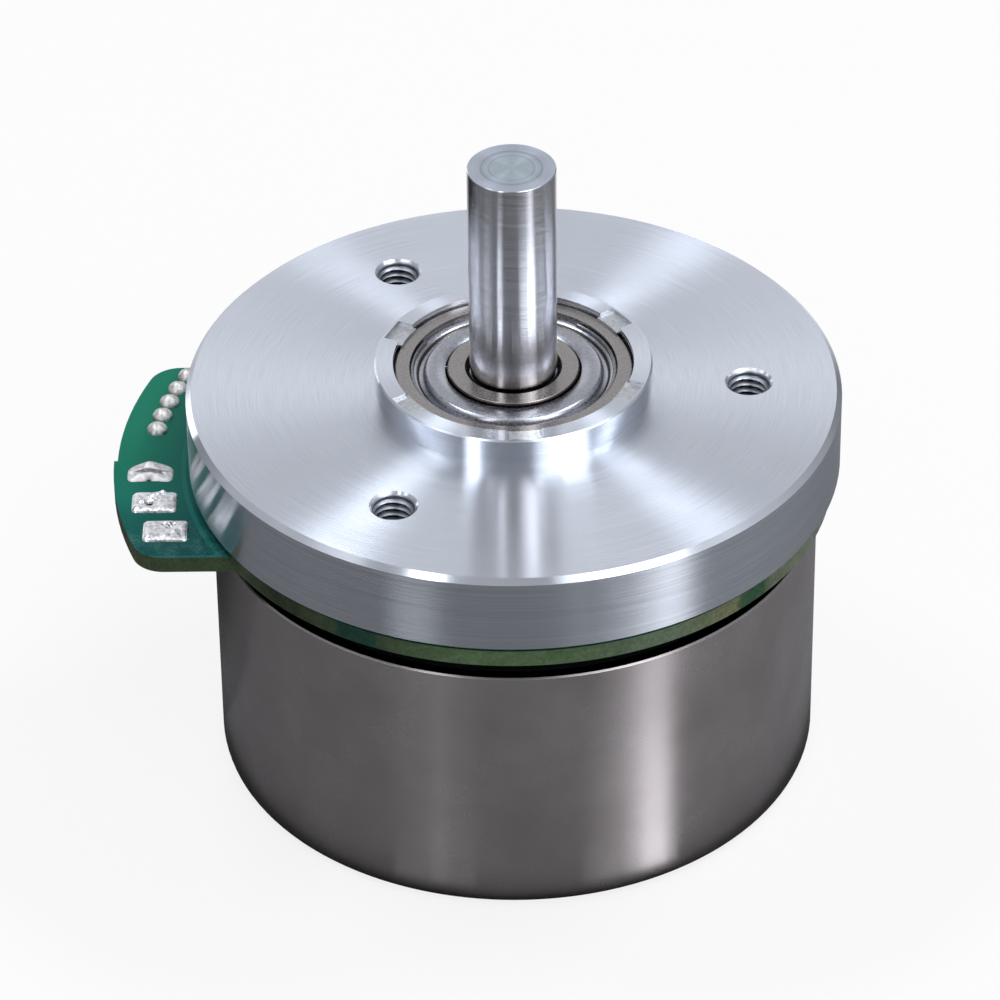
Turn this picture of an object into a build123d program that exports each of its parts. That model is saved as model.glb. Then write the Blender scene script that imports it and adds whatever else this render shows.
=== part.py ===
"""External-rotor brushless DC motor, in millimetres.

The origin is the centre of the flange's mounting face, and +Z runs out along the shaft. The flange
carries a bearing tube, the stator is pressed on that tube, and the rotor cup turns round the stator
on a shaft that runs back through the tube in two shielded ball bearings.
"""
import os
from math import cos, radians, sin, sqrt, tan

from build123d import *

os.makedirs("parts", exist_ok=True)

# Output shaft
shaft_d = 8.0
shaft_reach = 23.4
shaft_end_chamfer = 0.3
shaft_relief_d = 7.4
shaft_relief_w = 0.65
shaft_relief_rise = 0.15

# Flange, its pilot boss and the bearing tube below it, all turned from one bar
flange_d = 60.0
flange_t = 7.65
flange_edge_chamfer = 0.5
flange_lower_chamfer = 0.2
boss_d = 25.4
boss_h = 2.6
boss_edge_chamfer = 0.15
tube_wall = 2.0
tube_lip = 0.4
bearing_shoulder = 1.5

# M4 mounting holes in the flange face, opened to the thread's major diameter
mount_circle_d = 43.0
mount_hole_count = 3
mount_thread_d = 4.0
mount_countersink_d = 4.4

# Stake marks that fold the boss rim over the front bearing
stake_count = 6
stake_first_angle = 35.0
stake_width = 3.0
stake_depth = 0.35
stake_rim_left = 0.35
stake_lip = 0.35
bearing_recess = 0.6

# Shielded deep-groove ball bearing, 8 x 22 x 7
bearing_od = 22.0
bearing_w = 7.0
bearing_edge_chamfer = 0.3
bearing_bore_chamfer = 0.4
ball_d = 3.969
ball_count = 7
ball_clearance = 0.05
race_shoulder = 0.53
shield_seat_step = 0.55
shield_seat_depth = 0.9
shield_t = 0.25
shield_lip_gap = 0.2
shield_flat_depth = 0.55
shield_bead_depth = 0.25
shield_bead_width = 0.7
shield_rim_width = 0.35
snap_wire_d = 0.4
snap_wire_opening = 100.0
snap_wire_middle_angle = 100.0
cage_width = 1.2
cage_shield_gap = 0.27
cage_claw_height = 0.7
cage_pocket_clearance = 0.08

# Wave washer between the tube's rear shoulder and the rear bearing
wave_washer_t = 0.25
wave_washer_height = 0.8
wave_washer_width = 1.1
wave_count = 3

# Rotor cup, drawn steel
rotor_d = 56.0
rotor_rim_drop = 12.3
rotor_depth = 26.2
rotor_wall = 1.2
rotor_floor_t = 1.5
rotor_bottom_radius = 1.0
rotor_rim_chamfer = 0.15

# Hub bush, riveted in the cup's floor
bush_flange_d = 18.0
bush_flange_t = 1.6
bush_spigot_d = 12.0
bush_collar_d = 11.2
bush_collar_h = 1.0
bush_end_recess = 0.3

# Magnet ring, bonded inside the cup
magnet_t = 2.2
magnet_length = 20.0
magnet_rim_drop = 0.6
magnet_chamfer = 0.3
glue_film = 0.03

# Stator core, a stack of laminations with twelve teeth
air_gap = 0.4
tooth_count = 12
tooth_w = 3.6
yoke_w = 2.6
tooth_tip_t = 0.9
tooth_tip_slope = 0.6
slot_opening = 2.2
stack_h = 16.0
stack_drop = 15.5

# Moulded insulators on both ends of the core
insulator_plate_t = 0.8
insulator_liner_t = 0.6
insulator_wall_t = 0.6
insulator_wall_lip = 0.3
insulator_mid_gap = 0.1
insulator_tip_angle = 10.0
board_post_count = 3
board_post_d = 2.2
board_peg_d = 1.2
board_peg_head_d = 2.0
board_peg_head_h = 0.35
pin_boss_d = 1.8
pin_boss_h = 4.0

# Coils
coil_end_build = 1.9
coil_gap = 0.05
coil_side_gap = 0.5
coil_corner_radius = 1.4

# Circuit board under the flange, with a solder tab to the -X side
board_gap = 0.6
board_t = 1.6
board_inset = 0.7
board_bore_gap = 0.3
board_hole_clearance = 0.05
tab_reach = 6.95
tab_step = 0.33
tab_half_width = 15.0
tab_corner_radius = 3.0

# Solder on the tab: three phase pads and a row of sensor joints
solder_inset = 3.4
phase_pad_length = 4.2
phase_pad_width = 3.1
phase_pad_corner = 0.4
phase_pad_heights = (1.0, 0.6, 0.5)
phase_pad_draft = 0.9
phase_first_angle = 183.5
phase_pitch_angle = 7.85
signal_count = 5
signal_first_angle = 171.6
signal_pitch_angle = 3.85
signal_joint_d = 1.95
signal_joint_h = 0.9

# Pins that bring the three phases up to the board
phase_pin_d = 0.8
phase_pin_depth = 3.0
phase_pin_stand = 0.35

# Hall sensors under the board
hall_count = 3
hall_pitch_angle = 17.14
hall_depth = 1.6
hall_width = 2.9
hall_height = 1.1
hall_draft = 0.15
hall_leg_w = 0.4
hall_leg_t = 0.2
hall_leg_reach = 0.55
hall_leg_pitch = 0.95

# Heights and radii that follow from the sizes above
shaft_r = shaft_d / 2
bearing_r = bearing_od / 2
tube_r = bearing_r + tube_wall
shoulder_r = bearing_r - bearing_shoulder
front_bearing_top = boss_h - bearing_recess
rotor_bottom = -rotor_rim_drop - rotor_depth
rotor_floor_top = rotor_bottom + rotor_floor_t
bush_bottom = rotor_bottom + bush_end_recess
rear_bearing_bottom = rotor_floor_top + bush_flange_t + bush_collar_h
rear_bearing_top = rear_bearing_bottom + bearing_w
rear_shoulder = rear_bearing_top + wave_washer_height
tube_end = rear_bearing_bottom - tube_lip
ball_r = ball_d / 2
ball_circle_r = (bearing_r + shaft_r) / 2
inner_land_r = ball_circle_r - ball_r + race_shoulder
outer_land_r = ball_circle_r + ball_r - race_shoulder
shield_seat_r = outer_land_r + shield_seat_step
cup_inner_r = rotor_d / 2 - rotor_wall
magnet_outer_r = cup_inner_r - glue_film
magnet_inner_r = magnet_outer_r - magnet_t
core_r = magnet_inner_r - air_gap
core_bore_r = tube_r + glue_film
yoke_r = core_bore_r + yoke_w
stack_bottom = -stack_drop - stack_h
tooth_pitch = 360 / tooth_count
liner_half_w = tooth_w / 2 + insulator_liner_t
coil_inner_r = yoke_r + insulator_wall_t + coil_gap
tip_wall_r = core_r - tooth_tip_t - tooth_tip_slope - insulator_wall_t / 2
tip_wall_end = tip_wall_r + insulator_wall_t
tip_wall_half_w = tip_wall_end * sin(radians(insulator_tip_angle))
coil_outer_r = sqrt(tip_wall_r ** 2 - tip_wall_half_w ** 2) - coil_gap
board_top = -flange_t - board_gap
board_bottom = board_top - board_t
board_r = flange_d / 2 - board_inset
board_bore_r = tube_r + board_bore_gap
tab_r = flange_d / 2 + tab_reach
solder_circle_r = tab_r - solder_inset
post_circle_r = yoke_r - insulator_wall_t / 2
post_angles = [tooth_pitch / 2 + 360 / board_post_count * i for i in range(board_post_count)]
pin_angles = [angle + 2 * tooth_pitch for angle in post_angles]


def turned(points):
    """A solid of revolution about Z from the corners of its half section, as (radius, height)."""
    outline = Polyline(*[(r, 0, z) for r, z in points], close=True)
    return revolve(make_face(outline), Axis.Z)


def ring(outer_r, inner_r, height):
    """A flat ring standing on z = 0."""
    return extrude(Circle(outer_r) - Circle(inner_r), height)


def at_angle(shape, angle):
    """The shape turned about the shaft axis."""
    return Rot(0, 0, angle) * shape


def save(shape, node):
    """Writes one piece to its own file."""
    export_step(shape, f"parts/{node}.step")


def make_flange():
    """Flange, boss and bearing tube, with the mounting holes and the staked rim."""
    r, c, low = flange_d / 2, flange_edge_chamfer, flange_lower_chamfer
    boss_r, edge = boss_d / 2, boss_edge_chamfer
    body = turned([
        (bearing_r, boss_h), (boss_r - edge, boss_h), (boss_r, boss_h - edge), (boss_r, 0),
        (r - c, 0), (r, -c), (r, -flange_t + low), (r - low, -flange_t), (tube_r, -flange_t),
        (tube_r, tube_end), (bearing_r, tube_end), (bearing_r, rear_shoulder),
        (shoulder_r, rear_shoulder), (shoulder_r, front_bearing_top - bearing_w),
        (bearing_r, front_bearing_top - bearing_w),
    ])
    sink = (mount_countersink_d - mount_thread_d) / 2
    hole = Pos(0, 0, -flange_t / 2) * Cylinder(mount_thread_d / 2, flange_t)
    hole += Pos(0, 0, -sink / 2) * Cone(mount_thread_d / 2, mount_countersink_d / 2, sink)
    body -= [at_angle(Pos(mount_circle_d / 2, 0, 0) * hole, 360 / mount_hole_count * i)
             for i in range(mount_hole_count)]
    mark_r = boss_r - stake_rim_left
    dent = Pos(mark_r / 2, 0, boss_h) * Box(mark_r, stake_width, 2 * stake_depth)
    lip_h = bearing_recess - stake_depth
    lip = extrude(Circle(bearing_r + stake_lip) - Circle(bearing_r - stake_lip), lip_h)
    lip &= Pos(bearing_r, 0, 0) * Box(4 * stake_lip, stake_width, 4 * lip_h)
    for i in range(stake_count):
        angle = stake_first_angle + 360 / stake_count * i
        body -= at_angle(dent, angle)
        body += at_angle(Pos(0, 0, front_bearing_top) * lip, angle)
    return body


def make_shaft():
    """Ground shaft, with a grinding relief between its output end and the front bearing's seat."""
    c, relief_r = shaft_end_chamfer, shaft_relief_d / 2
    relief_top = front_bearing_top + shaft_relief_rise
    relief_bottom = relief_top - shaft_relief_w
    return turned([
        (0, shaft_reach), (shaft_r - c, shaft_reach), (shaft_r, shaft_reach - c),
        (shaft_r, relief_top), (relief_r, relief_top), (relief_r, relief_bottom), (shaft_r, relief_bottom),
        (shaft_r, bush_bottom + c), (shaft_r - c, bush_bottom), (0, bush_bottom),
    ])


def bearing_outer_ring():
    """Outer ring with its ball groove and a seat for a shield at each face, centred on z = 0."""
    half, c = bearing_w / 2, bearing_edge_chamfer
    seat = half - shield_seat_depth
    body = turned([
        (shield_seat_r, half), (bearing_r - c, half), (bearing_r, half - c), (bearing_r, c - half),
        (bearing_r - c, -half), (shield_seat_r, -half), (shield_seat_r, -seat),
        (outer_land_r, -seat), (outer_land_r, seat), (shield_seat_r, seat),
    ])
    return body - Torus(ball_circle_r, ball_r + ball_clearance)


def bearing_inner_ring():
    """Inner ring with its ball groove, centred on z = 0."""
    half, c, edge = bearing_w / 2, bearing_bore_chamfer, bearing_bore_chamfer / 3
    body = turned([
        (shaft_r + c, half), (inner_land_r - edge, half), (inner_land_r, half - edge),
        (inner_land_r, edge - half), (inner_land_r - edge, -half), (shaft_r + c, -half),
        (shaft_r, c - half), (shaft_r, half - c),
    ])
    return body - Torus(ball_circle_r, ball_r + ball_clearance)


def bearing_shield():
    """Pressed sheet shield for the +Z face: a flat, a raised bead and a rim on the ring's seat."""
    flat = bearing_w / 2 - shield_flat_depth
    bead = bearing_w / 2 - shield_bead_depth
    seat = bearing_w / 2 - shield_seat_depth
    rim_r = shield_seat_r - glue_film
    bead_outer_r = rim_r - shield_rim_width
    bead_inner_r = bead_outer_r - shield_bead_width
    lip_r = inner_land_r + shield_lip_gap
    slope = (flat - seat) / 2
    t = shield_t
    return turned([
        (lip_r, flat), (bead_inner_r, flat), (bead_inner_r + slope, bead), (bead_outer_r - slope, bead),
        (bead_outer_r, seat + t), (rim_r, seat + t), (rim_r, seat), (bead_outer_r - t, seat),
        (bead_outer_r - slope - t, bead - t), (bead_inner_r + slope + t, bead - t),
        (bead_inner_r + t, flat - t), (lip_r, flat - t),
    ])


def bearing_snap_wire():
    """Open wire ring that holds the shield down in its seat, for the +Z face."""
    wire_r = snap_wire_d / 2
    middle_r = shield_seat_r - glue_film - wire_r
    height = bearing_w / 2 - shield_seat_depth + shield_t + wire_r
    section = Pos(middle_r, 0, height) * Rot(90, 0, 0) * Circle(wire_r)
    wire = revolve(section, Axis.Z, 360 - snap_wire_opening)
    return at_angle(wire, snap_wire_middle_angle + snap_wire_opening / 2)


def bearing_cage():
    """Moulded crown cage: a ring behind the balls, with a pocket that clips round each one."""
    low = shield_flat_depth + shield_t + cage_shield_gap - bearing_w / 2
    body = Pos(0, 0, low) * ring(ball_circle_r + cage_width / 2, ball_circle_r - cage_width / 2,
                                 cage_claw_height - low)
    pocket = Pos(ball_circle_r, 0, 0) * Sphere(ball_r + cage_pocket_clearance)
    return body - [at_angle(pocket, 360 / ball_count * i) for i in range(ball_count)]


def bearing_balls():
    """The bearing's set of steel balls."""
    ball = Pos(ball_circle_r, 0, 0) * Sphere(ball_r)
    return Compound([at_angle(ball, 360 / ball_count * i) for i in range(ball_count)])


def bearing_pieces():
    """One bearing as named pieces centred on z = 0, with its outside face up."""
    shield, wire = bearing_shield(), bearing_snap_wire()
    over = Rot(180, 0, 0)
    return {
        "outer_ring": bearing_outer_ring(), "inner_ring": bearing_inner_ring(),
        "outside_shield": shield, "inside_shield": over * shield,
        "outside_snap_wire": wire, "inside_snap_wire": over * wire,
        "cage": bearing_cage(), "balls": bearing_balls(),
    }


def make_wave_washer():
    """Thin spring washer whose waves touch the tube's shoulder and the rear bearing in turn."""
    outer_r = bearing_r - 2 * glue_film
    swing = (wave_washer_height - wave_washer_t) / 2
    middle = rear_bearing_top + swing
    steps = 8 * wave_count

    def wavy(radius):
        points = []
        for i in range(steps):
            angle = 360 / steps * i
            height = middle + swing * cos(radians(wave_count * angle))
            points.append((radius * cos(radians(angle)), radius * sin(radians(angle)), height))
        return Edge.make_spline(points, periodic=True)

    face = Face.make_surface_from_curves(wavy(outer_r), wavy(outer_r - wave_washer_width))
    return Solid.extrude(face, Vector(0, 0, wave_washer_t))


def make_rotor_cup():
    """Drawn steel cup, open towards the flange, with a hole for the hub bush in its floor."""
    r, c = rotor_d / 2, rotor_rim_chamfer
    rim = -rotor_rim_drop
    body = turned([
        (bush_spigot_d / 2, rotor_floor_top), (cup_inner_r, rotor_floor_top), (cup_inner_r, rim - c),
        (cup_inner_r + c, rim), (r - c, rim), (r, rim - c), (r, rotor_bottom),
        (bush_spigot_d / 2, rotor_bottom),
    ])
    corner = body.edges().filter_by(GeomType.CIRCLE).group_by(Axis.Z)[0].sort_by(SortBy.LENGTH)[-1]
    return fillet(corner, rotor_bottom_radius)


def make_hub_bush():
    """Turned bush pressed on the shaft; its spigot is riveted through the cup's floor."""
    flange_top = rotor_floor_top + bush_flange_t
    flange_r, spigot_r, collar_r = bush_flange_d / 2, bush_spigot_d / 2, bush_collar_d / 2
    return turned([
        (shaft_r, rear_bearing_bottom), (collar_r, rear_bearing_bottom), (collar_r, flange_top),
        (flange_r, flange_top), (flange_r, rotor_floor_top), (spigot_r, rotor_floor_top),
        (spigot_r, bush_bottom), (shaft_r, bush_bottom),
    ])


def make_magnet_ring():
    """Bonded magnet ring, just below the cup's rim."""
    top = -rotor_rim_drop - magnet_rim_drop
    bottom, c = top - magnet_length, magnet_chamfer
    return turned([
        (magnet_inner_r + c, top), (magnet_outer_r, top), (magnet_outer_r, bottom),
        (magnet_inner_r + c, bottom), (magnet_inner_r, bottom + c), (magnet_inner_r, top - c),
    ])


def make_stator_core():
    """Lamination stack: a ring yoke and T-shaped teeth between semi-closed slots."""
    half = radians(tooth_pitch / 2)

    def flank(radius):
        """The point at this distance along the tooth's side, in the frame of the slot beside it."""
        return radius * cos(half) + tooth_w / 2 * sin(half), radius * sin(half) - tooth_w / 2 * cos(half)

    tip_r = core_r - tooth_tip_t
    inner, outer = flank(yoke_r), flank(tip_r - tooth_tip_slope)
    mouth = slot_opening / 2
    upper = [inner, outer, (tip_r, mouth), (core_r + air_gap, mouth)]
    lower = [(x, -y) for x, y in reversed(upper)]
    slot = make_face(Polyline(*upper, *lower, close=True))
    sheet = Circle(core_r) - Circle(core_bore_r)
    sheet -= [Rot(0, 0, tooth_pitch * (i + 0.5)) * slot for i in range(tooth_count)]
    return Pos(0, 0, stack_bottom) * extrude(sheet, stack_h)


def insulator():
    """Moulded end insulator, standing on the end of the core at z = 0."""
    wall_h = insulator_plate_t + coil_end_build + insulator_wall_lip
    wall_outer_r = yoke_r + insulator_wall_t
    body = ring(wall_outer_r, core_bore_r + glue_film, insulator_plate_t)
    body += ring(wall_outer_r, yoke_r, wall_h)
    length = tip_wall_end - yoke_r
    arm = Pos(yoke_r + length / 2, 0, insulator_plate_t / 2) * Box(length, 2 * liner_half_w,
                                                                     insulator_plate_t)
    tip = ring(tip_wall_end, tip_wall_r, wall_h)
    tip &= Pos(tip_wall_end, 0, 0) * Box(tip_wall_end, 2 * tip_wall_half_w, 3 * wall_h)
    liner_h = stack_h / 2 - insulator_mid_gap / 2
    liner_length = tip_wall_r - yoke_r
    liner = Pos(yoke_r + liner_length / 2, liner_half_w - insulator_liner_t / 2, -liner_h / 2)
    liner *= Box(liner_length, insulator_liner_t, liner_h)
    tooth = arm + tip + liner + mirror(liner, Plane.XZ)
    return body + [at_angle(tooth, tooth_pitch * i) for i in range(tooth_count)]


def make_upper_insulator():
    """Upper insulator, with posts and pegs that carry the board and bosses that hold the pins."""
    body = Pos(0, 0, -stack_drop) * insulator()
    post_h = board_bottom + stack_drop
    peg_h = board_t + board_peg_head_h
    post = Pos(0, 0, -stack_drop + post_h / 2) * Cylinder(board_post_d / 2, post_h)
    post += Pos(0, 0, board_bottom + peg_h / 2) * Cylinder(board_peg_d / 2, peg_h)
    post += Pos(0, 0, board_top + board_peg_head_h / 2) * Cylinder(board_peg_head_d / 2, board_peg_head_h)
    boss = Pos(0, 0, -stack_drop + pin_boss_h / 2) * Cylinder(pin_boss_d / 2, pin_boss_h)
    socket = Pos(0, 0, -stack_drop + pin_boss_h - phase_pin_depth / 2) * Cylinder(phase_pin_d / 2,
                                                                                  phase_pin_depth)
    body += [at_angle(Pos(post_circle_r, 0, 0) * post, angle) for angle in post_angles]
    body += [at_angle(Pos(post_circle_r, 0, 0) * boss, angle) for angle in pin_angles]
    return body - [at_angle(Pos(post_circle_r, 0, 0) * socket, angle) for angle in pin_angles]


def make_lower_insulator():
    """Lower insulator, the same moulding without posts."""
    return Pos(0, 0, stack_bottom) * Rot(180, 0, 0) * insulator()


def make_coil():
    """One coil, wound on the tooth that points along +X and widening with its slot."""
    window_w = 2 * (liner_half_w + coil_gap)
    window_h = stack_h + 2 * (insulator_plate_t + coil_gap)
    outer_h = window_h + 2 * coil_end_build
    half_pitch = radians(tooth_pitch / 2)

    def section(radius):
        width = 2 * (radius * tan(half_pitch) - coil_side_gap / 2 / cos(half_pitch))
        return Plane.YZ.offset(radius) * RectangleRounded(width, outer_h, coil_corner_radius)

    body = loft([section(coil_inner_r), section(coil_outer_r)])
    window = Pos((coil_inner_r + coil_outer_r) / 2, 0, 0) * Box(core_r, window_w, window_h)
    return Pos(0, 0, -stack_drop - stack_h / 2) * (body - window)


def make_board():
    """Circuit board: a disc round the bearing tube with a tab for the solder joints."""
    upper_r, lower_r = tab_r - tab_step, tab_r
    upper = Circle(upper_r) & Pos(-upper_r / 2, tab_half_width / 2) * Rectangle(2 * upper_r, tab_half_width)
    lower = Circle(lower_r) & Pos(-lower_r / 2, -tab_half_width / 2) * Rectangle(2 * lower_r, tab_half_width)
    tab = (upper + lower) & Pos(-tab_r, 0) * Rectangle(2 * tab_r, 2 * tab_half_width)
    corners = [v for v in tab.vertices() if v.X < -board_r * 0.9 and abs(v.Y) > tab_half_width * 0.99]
    outline = Circle(board_r) + fillet(corners, tab_corner_radius)
    holes = [Circle(board_bore_r)]
    for angles, diameter in ((post_angles, board_peg_d), (pin_angles, phase_pin_d)):
        hole = Pos(post_circle_r, 0) * Circle(diameter / 2 + board_hole_clearance)
        holes += [Rot(0, 0, angle) * hole for angle in angles]
    return Pos(0, 0, board_bottom) * extrude(outline - holes, board_t)


def on_solder_circle(angle):
    """Place on the board's top face, on the circle of the solder joints, square to the board."""
    return Pos(solder_circle_r * cos(radians(angle)), solder_circle_r * sin(radians(angle)), board_top)


def phase_solder(height):
    """Solder heaped on one rectangular phase pad, drawn in towards its top."""
    base = RectangleRounded(phase_pad_length, phase_pad_width, phase_pad_corner)
    top = RectangleRounded(phase_pad_length - phase_pad_draft, phase_pad_width - phase_pad_draft,
                           phase_pad_corner)
    return loft([base, Pos(0, 0, height) * top])


def signal_solder():
    """Round solder joint of a sensor lead, a low cap."""
    r, h = signal_joint_d / 2, signal_joint_h
    ball = (r * r + h * h) / (2 * h)
    return Pos(0, 0, h - ball) * Sphere(ball) & Pos(0, 0, h) * Box(4 * r, 4 * r, 2 * h)


def make_phase_pin():
    """Pin from its boss in the insulator up through the board, at the first pin's place."""
    low = -stack_drop + pin_boss_h - phase_pin_depth
    length = board_top + phase_pin_stand - low
    return Pos(post_circle_r, 0, low + length / 2) * Cylinder(phase_pin_d / 2, length)


def make_hall_sensor():
    """Surface-mounted Hall sensor over the rim of the magnet ring, on the +X side."""
    body = Pos(0, 0, -hall_height / 2) * Box(hall_depth, hall_width, hall_height)
    body = chamfer(body.faces().sort_by(Axis.Z)[0].edges(), hall_draft)
    leg = Pos(0, 0, -hall_leg_t / 2) * Box(hall_leg_reach, hall_leg_w, hall_leg_t)
    out = (hall_depth + hall_leg_reach) / 2
    body += [Pos(x, y, 0) * leg for x, y in ((-out, -hall_leg_pitch), (-out, hall_leg_pitch), (out, 0))]
    return Pos((magnet_inner_r + magnet_outer_r) / 2, 0, board_bottom) * body


save(make_flange(), "flange")
save(make_shaft(), "shaft")
front = Pos(0, 0, front_bearing_top - bearing_w / 2)
rear = Pos(0, 0, rear_bearing_bottom + bearing_w / 2) * Rot(180, 0, 0)
for name, piece in bearing_pieces().items():
    save(front * piece, f"front_bearing_{name}")
    save(rear * piece, f"rear_bearing_{name}")
save(make_wave_washer(), "wave_washer")
save(make_rotor_cup(), "rotor_cup")
save(make_hub_bush(), "hub_bush")
save(make_magnet_ring(), "magnet_ring")
save(make_stator_core(), "stator_core")
save(make_upper_insulator(), "upper_insulator")
save(make_lower_insulator(), "lower_insulator")
coil = make_coil()
for i in range(tooth_count):
    save(at_angle(coil, tooth_pitch * i), f"coil_{i + 1:02d}")
save(make_board(), "circuit_board")
for i, height in enumerate(phase_pad_heights):
    place = on_solder_circle(phase_first_angle + phase_pitch_angle * i)
    save(place * phase_solder(height), f"phase_solder_{i + 1}")
for i in range(signal_count):
    place = on_solder_circle(signal_first_angle - signal_pitch_angle * i)
    save(place * signal_solder(), f"signal_solder_{i + 1}")
for i, angle in enumerate(pin_angles):
    save(at_angle(make_phase_pin(), angle), f"phase_pin_{i + 1}")
for i in range(hall_count):
    save(at_angle(make_hall_sensor(), 180 + hall_pitch_angle * (i - 1)), f"hall_sensor_{i + 1}")
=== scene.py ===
"""The external-rotor brushless motor as it looks: finishes, solder, threads and windings, in metres."""
from math import cos, exp, pi, radians, sin, tan

import bpy
from mathutils import Matrix, Vector, noise


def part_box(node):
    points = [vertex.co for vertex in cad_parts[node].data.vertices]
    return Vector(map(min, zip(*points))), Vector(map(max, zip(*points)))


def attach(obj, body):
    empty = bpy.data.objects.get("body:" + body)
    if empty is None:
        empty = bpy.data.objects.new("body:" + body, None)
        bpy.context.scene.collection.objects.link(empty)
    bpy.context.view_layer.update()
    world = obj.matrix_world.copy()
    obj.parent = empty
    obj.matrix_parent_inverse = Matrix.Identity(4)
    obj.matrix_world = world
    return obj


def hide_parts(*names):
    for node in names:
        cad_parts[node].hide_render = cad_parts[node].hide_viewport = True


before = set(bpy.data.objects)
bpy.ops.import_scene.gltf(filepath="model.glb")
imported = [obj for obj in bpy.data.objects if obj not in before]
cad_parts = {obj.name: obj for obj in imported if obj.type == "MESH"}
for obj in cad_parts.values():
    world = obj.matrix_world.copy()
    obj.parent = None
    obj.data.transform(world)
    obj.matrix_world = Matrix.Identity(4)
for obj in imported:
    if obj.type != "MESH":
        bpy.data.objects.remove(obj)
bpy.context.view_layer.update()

# The camera.
# A 194 mm lens stands half a metre in front of the motor and looks down on it at 36 degrees.
camera = bpy.data.objects.new("camera", bpy.data.cameras.new("camera"))
camera.data.sensor_width = 36
camera.data.lens = 194.21
camera.data.clip_start = 0.05
camera.location = (0, -0.40424, 0.28254)
camera.rotation_euler = (radians(53.8144), radians(0.5611), radians(-0.2158))
bpy.context.scene.collection.objects.link(camera)
bpy.context.scene.camera = camera
bpy.context.scene.view_settings.view_transform = "Standard"


# The floor and the white backdrop.
# A white sheet that fades into the white behind it. It keeps the motor's soft shadow, and what sees
# it from below looks through it.
def linear(colour):
    """An sRGB hex colour as linear red, green, blue and alpha."""
    parts = [int(colour[i:i + 2], 16) / 255 for i in (1, 3, 5)]
    return [c / 12.92 if c <= 0.04045 else ((c + 0.055) / 1.055) ** 2.4 for c in parts] + [1.0]


def add(tree, kind, inputs=(), stops=(), **settings):
    """Adds a node: its settings, a ramp's stops, and for each input a value, a socket or a node."""
    made = tree.nodes.new("ShaderNode" + kind)
    for name, value in settings.items():
        setattr(made, name, value)
    for i, (place, colour) in enumerate(stops):
        if i == 0:
            made.color_ramp.elements.remove(made.color_ramp.elements[1])
            made.color_ramp.elements[0].position = place
            made.color_ramp.elements[0].color = colour
        else:
            made.color_ramp.elements.new(place).color = colour
    for name, value in dict(inputs).items():
        if isinstance(value, bpy.types.Node):
            value = value.outputs[0]
        if isinstance(value, bpy.types.NodeSocket):
            tree.links.new(value, made.inputs[name])
        else:
            made.inputs[name].default_value = value
    return made


def new_material(name):
    """A material with an empty node tree."""
    made = bpy.data.materials.new(name)
    made.use_nodes = True
    made.node_tree.nodes.clear()
    return made


def new_piece(name, points, faces, material, sharp_angle=35):
    """A mesh object, smooth apart from its sharp edges."""
    mesh = bpy.data.meshes.new(name)
    mesh.from_pydata(points, [], faces)
    mesh.materials.append(material)
    mesh.shade_smooth()
    mesh.set_sharp_from_angle(angle=radians(sharp_angle))
    made = bpy.data.objects.new(name, mesh)
    bpy.context.scene.collection.objects.link(made)
    return made


def ring_faces(rings, steps, start=0, closed=False):
    """Faces between rings of points that follow one another, each ring with as many points as steps."""
    faces = []
    for i in range(rings if closed else rings - 1):
        this, following = start + i * steps, start + (i + 1) % rings * steps
        faces += [(this + j, this + (j + 1) % steps, following + (j + 1) % steps, following + j)
                  for j in range(steps)]
    return faces


def turned_mesh(profile, steps, closed=False):
    """Points and faces of a shape turned about Z from its (radius, height) points."""
    points = [(r * cos(2 * pi * j / steps), r * sin(2 * pi * j / steps), z)
              for r, z in profile for j in range(steps)]
    return points, ring_faces(len(profile), steps, closed=closed)


def seen_by_shine(tree):
    """One for camera, glossy and transmission rays, and nought for the light that falls on things."""
    path = add(tree, "LightPath").outputs
    two = add(tree, "Math", {0: path["Is Camera Ray"], 1: path["Is Glossy Ray"]}, operation="MAXIMUM")
    return add(tree, "Math", {0: two, 1: path["Is Transmission Ray"]}, operation="MAXIMUM")


floor_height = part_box("rotor_cup")[0].z
sheet_r, sheet_middle_r = 4.0, 0.0001
white_share = 0.80
paper = new_material("white paper sheet")
tree = paper.node_tree
seen = add(tree, "Math", {0: seen_by_shine(tree), 1: white_share}, operation="MULTIPLY")
sheet = add(tree, "BsdfDiffuse", {"Color": linear("#fffbf5")})
glow = add(tree, "Emission", {"Color": linear("#ffffff"), "Strength": 1.0})
lit = add(tree, "MixShader", {0: seen, 1: sheet, 2: glow})
side = add(tree, "NewGeometry").outputs["Backfacing"]
both = add(tree, "MixShader", {0: side, 1: lit, 2: add(tree, "BsdfTransparent")})
add(tree, "OutputMaterial", {"Surface": both})
points, faces = turned_mesh([(sheet_r, floor_height), (sheet_middle_r, floor_height)], steps=64)
floor = new_piece("floor", points, faces, paper)

world = bpy.data.worlds.new("white room")
world.use_nodes = True
bpy.context.scene.world = world
tree = world.node_tree
tree.nodes.clear()
fill = add(tree, "Background", {"Color": linear("#f1f5ff"), "Strength": 0.5})
white = add(tree, "Background", {"Color": linear("#ffffff"), "Strength": 1.0})
mixed = add(tree, "MixShader", {0: seen_by_shine(tree), 1: fill, 2: white})
add(tree, "OutputWorld", {"Surface": mixed})


# The light tent and its lamps.
# Metal shows what stands round it, so a tent that glows in greys stands round the motor, with a
# painted shadow at the motor's foot, bright behind, with gaps in front and windows in roof and back.
# Only reflections see it.
mm = 0.001
tent_tint = linear("#f6f9ff")


def from_front(angle):
    """The place on a radial gradient of a direction, in degrees to the right of the camera's side."""
    return (90 + angle) / 360 % 1


def greys(pairs):
    """A ramp's stops from pairs of a place and a brightness."""
    return [(at, (v, v, v, 1.0)) for at, v in pairs]


def level(tree, around, values):
    """A brightness that changes with the direction round the motor."""
    stops = greys(sorted((from_front(angle), v) for angle, v in values))
    return add(tree, "ValToRGB", {"Fac": around}, stops=stops)


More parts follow.
